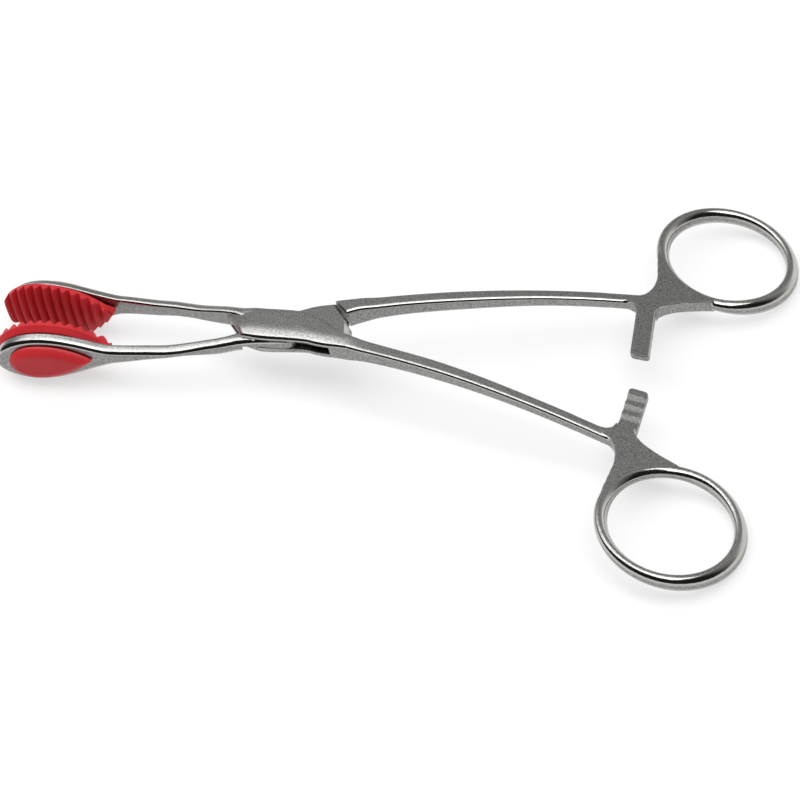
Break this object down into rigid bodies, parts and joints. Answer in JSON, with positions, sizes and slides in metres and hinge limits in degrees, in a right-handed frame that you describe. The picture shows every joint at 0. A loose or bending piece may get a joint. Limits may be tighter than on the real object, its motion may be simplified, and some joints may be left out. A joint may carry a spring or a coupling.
{
  "type": "tongue forceps",
  "caption": "Steel ring-handled forceps with a box lock, a side ratchet and soft ribbed jaw pads, for gripping and drawing forward a tongue.",
  "frame": {"origin": "on the lock pin's axis, at the flat front face of the lock where the pin's end lies flush", "axes": "+Z along the pin, out of the lock's front face; +X from the lock to the finger rings along the line midway between the two arms; +Y towards the jaw of the box arm"},
  "size_m": [0.1711, 0.1108, 0.03],
  "materials": {
    "box_arm": "satin forged steel with polished edges",
    "cross_arm": "satin forged steel with polished edges",
    "lock_pin": "ground flush and satin",
    "upper_pad": "soft satin red",
    "lower_pad": "soft satin red"
  },
  "bodies": {
    "box_side": {"box_arm": "box_arm", "lock_pin": "lock_pin", "upper_pad": "upper_pad"},
    "cross_side": {"cross_arm": "cross_arm", "lower_pad": "lower_pad"}
  },
  "joints": [
    {"name": "lock_hinge", "type": "hinge", "parent": "box_side", "child": "cross_side", "pos_m": [0, 0, 0], "axis": [0, 0, 1], "range_deg": [-7.2, 28]}
  ]
}
